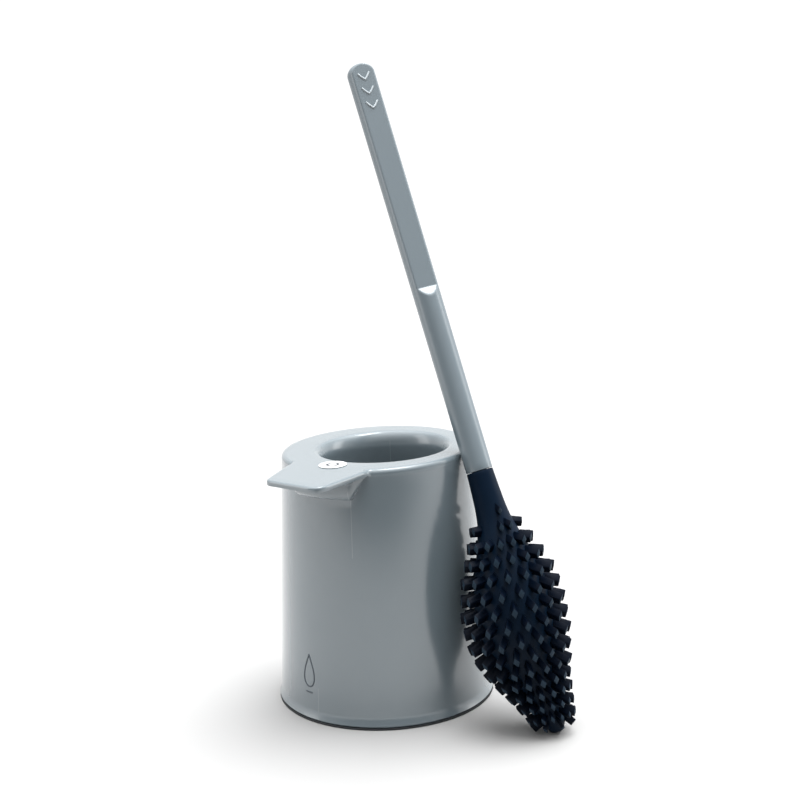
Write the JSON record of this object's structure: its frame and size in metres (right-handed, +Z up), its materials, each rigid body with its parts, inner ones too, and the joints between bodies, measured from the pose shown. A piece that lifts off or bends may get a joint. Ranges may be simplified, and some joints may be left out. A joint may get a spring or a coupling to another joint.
{
  "type": "toilet brush with pot",
  "caption": "Silicone toilet brush with a pull-apart handle, leaning on its round plastic pot, whose rim has a funnel mouth and a flat tab.",
  "frame": {"origin": "middle of the pot's underside, on the floor", "axes": "+Z up; the rim's tab points to -X-Y, and the brush stands at +X-Y and leans back against the rim"},
  "size_m": [0.1579, 0.1435, 0.3422],
  "materials": {
    "pot_plastic": "glossy",
    "foot_rubber": "matte",
    "label": "satin",
    "handle_plastic": "satin",
    "core_plastic": "matte",
    "silicone": "matte"
  },
  "bodies": {
    "pot": {"pot_shell": "pot_plastic", "base_cup": "pot_plastic", "foot_disc": "foot_rubber", "rim_label": "label"},
    "head": {"head_core": "core_plastic", "head_sleeve": "silicone"},
    "handle": {"handle": "handle_plastic"}
  },
  "joints": [
    {"name": "brush_lift", "type": "slide", "parent": "pot", "child": "head", "axis": [0, 0, 1], "range_m": [0, 0.18]},
    {"name": "handle_pull", "type": "slide", "parent": "head", "child": "handle", "axis": [-0.2452, 0.2724, 0.9304], "range_m": [0, 0.035]}
  ]
}
